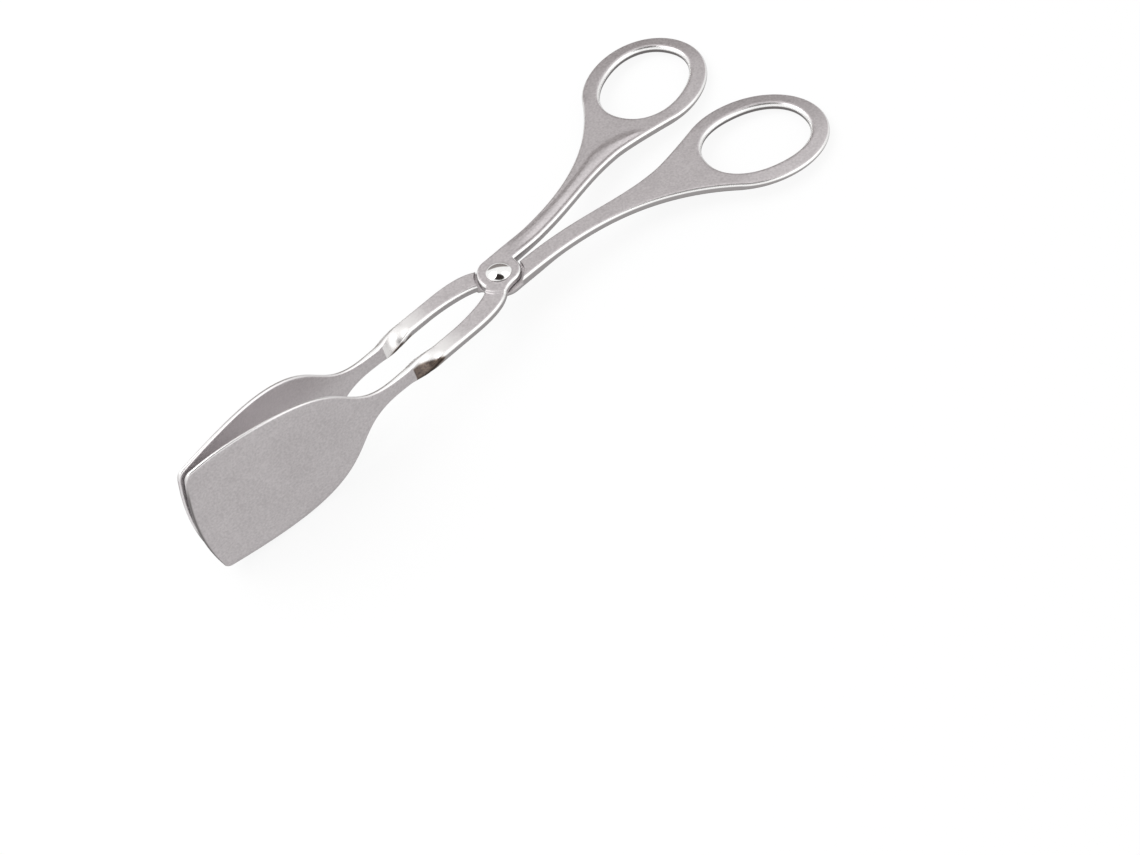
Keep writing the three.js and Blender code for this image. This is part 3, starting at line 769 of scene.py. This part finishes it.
def smoothed(mesh):
    """Smooth shading over the mesh, but for its edges sharper than the limit."""
    mesh.polygons.foreach_set("use_smooth", np.ones(len(mesh.polygons), bool))
    mesh.set_sharp_from_angle(angle=SHARP)


def turned_over(points):
    """The lower arm is the same stamping turned over about the length of the tongs."""
    return points * (1, -1, -1)


bore = RIVET + RUNNING_GAP
lap = BOSS + RUNNING_GAP
cut_points, cut_faces, _ = lathe([(0, -CUT_REACH), (lap, -CUT_REACH), (lap, RUNNING_GAP / 2),
                                  (bore, RUNNING_GAP / 2), (bore, CUT_REACH), (0, CUT_REACH)],
                                 LAP_SIDES)

# Marks of the arm's points. The necks are polished from start to end. Edges below the middle of
# the rivet lose their painted highlight and take painted shade, which comes in softly, and a thin
# line of painted shade runs along the blades' faces there. The upper arm's blade leans, and its end
# takes painted shade up to a height above that middle.
POLISH_START = 17.0
POLISH_FULL = 28.0
POLISH_END = 36.4
BLADE_EDGE_SHARE = 0.6
CONTOUR_SHADE_GAP = (0.15, 0.5)
BLADE_SOFT = 6.0
FLAT_SOFT = 0.3
LEAN_START = 0.6
LEAN = 0.9
END_SHADE_START = 6.0
END_SHADE_HEIGHT = 16.0
(highlight_value, wall_shade_value, reach_value, upper_reflection_value, lower_reflection_value, inner_light_value,
 gap_value) = arm_values
polished = reach_value < POLISH_END
polish_value = smoothstep(reach_value, POLISH_START, POLISH_FULL) * polished
blade_value = smoothstep(reach_value, twist_end, THIN)
# A thin line of painted shade along the blades' faces near their edge
contour_shade = blade_value * (1 - smoothstep(gap_value, *CONTOUR_SHADE_GAP))


def lap_cut(arm, cutter):
    """The arm's mesh less the cutter's. Points that the cut leaves closer than it can draw are
    joined, so that no face is a sliver."""
    lapped = arm.modifiers.new("lap", "BOOLEAN")
    lapped.operation = "DIFFERENCE"
    lapped.solver = "EXACT"
    lapped.object = cutter
    graph = bpy.context.evaluated_depsgraph_get()
    mesh = bpy.data.meshes.new_from_object(arm.evaluated_get(graph),
                                           preserve_all_data_layers=True, depsgraph=graph)
    arm.modifiers.clear()
    arm.data = mesh
    bpy.data.objects.remove(cutter)
    clean = bmesh.new()
    clean.from_mesh(mesh)
    bmesh.ops.remove_doubles(clean, verts=clean.verts, dist=CUT_JOIN * MM)
    bmesh.ops.dissolve_degenerate(clean, edges=clean.edges, dist=CUT_JOIN * MM / 2)
    bmesh.ops.triangulate(clean, faces=[face for face in clean.faces if len(face.verts) > 4])
    clean.to_mesh(mesh)
    clean.free()
    return mesh


def clear_cut(mesh, flip):
    """Points that the cut makes take no marks, so that its wall and floor are plain satin. They
    lie on the lap's wall, in the bore or on the lap's floor."""
    spots = np.empty(len(mesh.vertices) * 3, np.float32)
    mesh.vertices.foreach_get("co", spots)
    spots = flip((spots.reshape(-1, 3) - pivot) @ tongs_axes.T / MM)
    from_rivet = np.linalg.norm(spots[:, :2], axis=1)
    on_cut = (from_rivet < lap + CUT_NEAR) & ((np.abs(from_rivet - lap) < CUT_NEAR)
                                              | (np.abs(from_rivet - bore) < CUT_NEAR)
                                              | (np.abs(spots[:, 2] - RUNNING_GAP / 2) < CUT_NEAR))
    for mark in MARKS:
        value = np.empty(len(mesh.vertices), np.float32)
        layer = mesh.attributes[mark].data
        layer.foreach_get("value", value)
        layer.foreach_set("value", np.where(on_cut, 0, value).astype(np.float32))


def cut_arm(name, flip, reflection_value, lean, end_shade_height):
    """One arm, lapped and drilled. Its blade's end leans forward by the lean in mm at its foot and
    back at its head. Edges underneath lose their painted highlight and take painted shade, at the
    end up to a height in mm, and a blade's upper edge keeps part of the painted highlight."""
    points = flip(arm_points)
    leant = smoothstep(reach_value, BROAD * LEAN_START, blade_end)
    points[:, 0] += lean * leant * points[:, 2] / (BLADE_HEIGHT / 2)
    shade_top = end_shade_height * smoothstep(reach_value, BROAD + END_SHADE_START, blade_end)
    soft = np.where(blade_value > 0, BLADE_SOFT, FLAT_SOFT)
    below = smoothstep(shade_top - points[:, 2], 0, soft)
    bright = highlight_value * (1 - (1 - BLADE_EDGE_SHARE) * blade_value) * (1 - below)
    shaded_line = np.maximum(contour_shade, highlight_value * (1 - blade_value))
    wall_and_shade = np.maximum(wall_shade_value, 2 * shaded_line * below)
    arm = steel_mesh(name, points, arm_faces,
                     [bright, wall_and_shade, polish_value, reflection_value * polished, inner_light_value])
    mesh = lap_cut(arm, steel_mesh(name + "_cutter", flip(cut_points), cut_faces))
    clear_cut(mesh, flip)
    smoothed(mesh)
    return arm


upper_arm = cut_arm("upper_arm_steel", np.copy, upper_reflection_value, LEAN, END_SHADE_HEIGHT)
lower_arm = cut_arm("lower_arm_steel", turned_over, lower_reflection_value, 0.0, 0.0)

# Satin stainless steel, pressed, blasted to an even grey and then tumbled, which smooths its
# rounded edges, whose near white is a painted highlight. Its sheared walls stay duller, with
# painted shade in the finger holes and under lower edges, the blades' inner faces carry painted
# light, and the twisted necks are rolled to a mirror, with a painted dark reflection in brown.
FACE = (colour("BFBABB"), colour("D3CECF"))
# Lighter steel of the blades' inner faces: painted light where the two faces shade each other
INNER_LIGHT = (colour("E4E0E1"), colour("EEEAEB"))
# Near white of the rounded edges: a painted highlight
EDGE_HIGHLIGHT = colour("F4F3F2")
# Painted dark reflection on the polished necks, in brown
REFLECTION_BROWN = (colour("655B58"), colour("8A7B70"))
REFLECTION_DARKEST = colour("3B332F")
WALL = colour("ABA7A7")
# Painted shade: finger-hole walls, edges under the rivet's middle and the blades' lower contour
SHADE_GREY = colour("7A7676")
MIRROR = colour("F6F4F3")
SATIN_ROUGH = (0.40, 0.48)
EDGE_ROUGH = 0.22
TWIST_ROUGH = 0.36
REFLECTION_ROUGH = 0.38
# The blasted grain and its wider clouds, in mm, and their shares in the mottle. The real grain is
# finer, and is drawn as coarse as it needs to show. Its dents are a depth in mm and two strengths.
GRAIN_MM = 0.6
CLOUD_MM = 9.0
GRAIN_SHARE = 0.75
CLOUD_SHARE = 0.25
MOTTLE_RANGE = (0.35, 0.65)
NOISE_RANGE = (0.3, 0.7)
DENT_MM = 0.08
DENT_SATIN = 0.10
DENT_BRIGHT = 0.01

steel = bpy.data.materials.new("blasted_stainless_steel")
steel.use_nodes = True
tree = steel.node_tree
tree.nodes.clear()
spot = add_node(tree, "ShaderNodeTexCoord").outputs["Object"]
highlight_mark, wall_shade_mark, polish_mark, reflection_mark, inner_light_mark = (
    add_node(tree, "ShaderNodeAttribute", {"attribute_name": mark}).outputs["Fac"]
    for mark in MARKS)
grain = add_node(tree, "ShaderNodeTexNoise", Vector=spot, Scale=1 / (GRAIN_MM * MM), Detail=2.0)
cloud = add_node(tree, "ShaderNodeTexNoise", Vector=spot, Scale=1 / (CLOUD_MM * MM), Detail=3.0)
drift = add_node(tree, "ShaderNodeMath", {"operation": "MULTIPLY"},
                 i0=cloud.outputs["Fac"], i1=CLOUD_SHARE)
speck = add_node(tree, "ShaderNodeMath", {"operation": "MULTIPLY_ADD"},
                 i0=grain.outputs["Fac"], i1=GRAIN_SHARE, i2=drift.outputs[0])
mottle = add_node(tree, "ShaderNodeMapRange", Value=speck.outputs[0],
                  From_Min=MOTTLE_RANGE[0], From_Max=MOTTLE_RANGE[1])
face = add_node(tree, "ShaderNodeMix", {"data_type": "RGBA"}, Factor=mottle.outputs[0],
                i6=FACE[0], i7=FACE[1])
inside = add_node(tree, "ShaderNodeMix", {"data_type": "RGBA"}, Factor=mottle.outputs[0],
                  i6=INNER_LIGHT[0], i7=INNER_LIGHT[1])
with_inner_light = add_node(tree, "ShaderNodeMix", {"data_type": "RGBA"}, Factor=inner_light_mark,
                       i6=face.outputs[2], i7=inside.outputs[2])
with_polish = add_node(tree, "ShaderNodeMix", {"data_type": "RGBA"}, Factor=polish_mark,
                       i6=with_inner_light.outputs[2], i7=MIRROR)
with_wall = add_node(tree, "ShaderNodeMix", {"data_type": "RGBA"}, Factor=wall_shade_mark,
                     i6=with_polish.outputs[2], i7=WALL)
shade_share = add_node(tree, "ShaderNodeMapRange", Value=wall_shade_mark, From_Min=1.0, From_Max=2.0)
with_shade = add_node(tree, "ShaderNodeMix", {"data_type": "RGBA"}, Factor=shade_share.outputs[0],
                     i6=with_wall.outputs[2], i7=SHADE_GREY)
with_highlight = add_node(tree, "ShaderNodeMix", {"data_type": "RGBA"}, Factor=highlight_mark,
                     i6=with_shade.outputs[2], i7=EDGE_HIGHLIGHT)
brown = add_node(tree, "ShaderNodeMix", {"data_type": "RGBA"}, Factor=mottle.outputs[0],
                 i6=REFLECTION_BROWN[0], i7=REFLECTION_BROWN[1])
depth = add_node(tree, "ShaderNodeMapRange", Value=reflection_mark, From_Min=1.0, From_Max=2.0)
deep = add_node(tree, "ShaderNodeMix", {"data_type": "RGBA"}, Factor=depth.outputs[0],
                i6=brown.outputs[2], i7=REFLECTION_DARKEST)
with_reflection = add_node(tree, "ShaderNodeMix", {"data_type": "RGBA"}, Factor=reflection_mark,
                     i6=with_highlight.outputs[2], i7=deep.outputs[2])
satin_rough = add_node(tree, "ShaderNodeMapRange", Value=grain.outputs["Fac"],
                       From_Min=NOISE_RANGE[0], From_Max=NOISE_RANGE[1],
                       To_Min=SATIN_ROUGH[0], To_Max=SATIN_ROUGH[1])
bright = add_node(tree, "ShaderNodeMath", {"operation": "MAXIMUM"}, i0=highlight_mark, i1=polish_mark)
edge_rough = add_node(tree, "ShaderNodeMix", Factor=highlight_mark,
                      A=satin_rough.outputs[0], B=EDGE_ROUGH)
twist_rough = add_node(tree, "ShaderNodeMix", Factor=polish_mark,
                       A=edge_rough.outputs[0], B=TWIST_ROUGH)
rough = add_node(tree, "ShaderNodeMix", Factor=reflection_mark, A=twist_rough.outputs[0], B=REFLECTION_ROUGH)
dent = add_node(tree, "ShaderNodeMapRange", Value=bright.outputs[0],
                To_Min=DENT_SATIN, To_Max=DENT_BRIGHT)
bump = add_node(tree, "ShaderNodeBump", Strength=dent.outputs[0], Distance=DENT_MM * MM,
                Height=grain.outputs["Fac"])
skin = add_node(tree, "ShaderNodeBsdfPrincipled", Base_Color=with_reflection.outputs[2], Metallic=1.0,
                Roughness=rough.outputs[0], Normal=bump.outputs[0])
add_node(tree, "ShaderNodeOutputMaterial", Surface=skin.outputs[0])

for arm, body, node in ((upper_arm, "upper_half", "upper_arm"),
                        (lower_arm, "lower_half", "lower_arm")):
    arm.data.materials.clear()
    arm.data.materials.append(steel)
    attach(arm, body)
    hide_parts(node)

# Rivet. A domed head of bright steel on a plain shank, headed over under the lower boss.
RIVET_HEAD = 3.4
RIVET_RISE = 1.62
RIVET_TAIL = 3.2
RIVET_TAIL_RISE = 1.05
RIVET_LIP = 0.25
LIP_FOOT = 0.4
LIP_CORNER = (0.1, 0.35)
LIP_STEPS = 4
CAP_STEPS = 32
RIVET_SIDES = 96
SEAT_GAP = 0.05
RIVET_BRIGHT = (colour("F0EFEE"), colour("F8F8F7"))
RIVET_ROUGH = (0.05, 0.12)
WEAR_MM = 1.2
seat = BOSS_FACE + SEAT_GAP


def domed(radius, rise):
    """Half section of a spherical cap over a small lip. The cap's ball has the radius
    (radius^2 + cap^2) / (2 cap), where cap is the rise less the lip."""
    cap = rise - RIVET_LIP
    ball = (radius ** 2 + cap ** 2) / (2 * cap)
    tilt = np.linspace(np.arcsin(radius / ball), 0, CAP_STEPS + 1)
    cap_line = np.stack([ball * np.sin(tilt), RIVET_LIP + ball * (np.cos(tilt) - 1) + cap], axis=1)
    bend = np.linspace(0, 1, LIP_STEPS + 1)[:-1, None]
    foot, shoulder = np.array([radius - RIVET_LIP * LIP_FOOT, 0.0]), cap_line[0]
    corner = np.array([radius + RIVET_LIP * LIP_CORNER[0], RIVET_LIP * LIP_CORNER[1]])
    lip = (1 - bend) ** 2 * foot + 2 * (1 - bend) * bend * corner + bend ** 2 * shoulder
    return np.concatenate([lip, cap_line])


head = domed(RIVET_HEAD, RIVET_RISE) + (0, seat)
tail = (domed(RIVET_TAIL, RIVET_TAIL_RISE) * (1, -1) - (0, seat))[::-1]
head[-1, 0] = tail[0, 0] = 0
rivet_profile = np.concatenate([tail, [(RIVET, -seat), (RIVET, seat)], head])
rivet_points, rivet_faces, _ = lathe(rivet_profile, RIVET_SIDES)
rivet = steel_mesh("rivet_steel", rivet_points, rivet_faces)
smoothed(rivet.data)

chrome = bpy.data.materials.new("bright_rivet_steel")
chrome.use_nodes = True
tree = chrome.node_tree
tree.nodes.clear()
spot = add_node(tree, "ShaderNodeTexCoord").outputs["Object"]
wear = add_node(tree, "ShaderNodeTexNoise", Vector=spot, Scale=1 / (WEAR_MM * MM), Detail=4.0)
rough = add_node(tree, "ShaderNodeMapRange", Value=wear.outputs["Fac"],
                 From_Min=NOISE_RANGE[0], From_Max=NOISE_RANGE[1],
                 To_Min=RIVET_ROUGH[0], To_Max=RIVET_ROUGH[1])
tint = add_node(tree, "ShaderNodeMix", {"data_type": "RGBA"}, Factor=wear.outputs["Fac"],
                i6=RIVET_BRIGHT[0], i7=RIVET_BRIGHT[1])
skin = add_node(tree, "ShaderNodeBsdfPrincipled", Base_Color=tint.outputs[2], Metallic=1.0,
                Roughness=rough.outputs[0])
add_node(tree, "ShaderNodeOutputMaterial", Surface=skin.outputs[0])
rivet.data.materials.append(chrome)
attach(rivet, "upper_half")
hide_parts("rivet")

scene_view = bpy.context.scene.view_settings
scene_view.view_transform = "Standard"
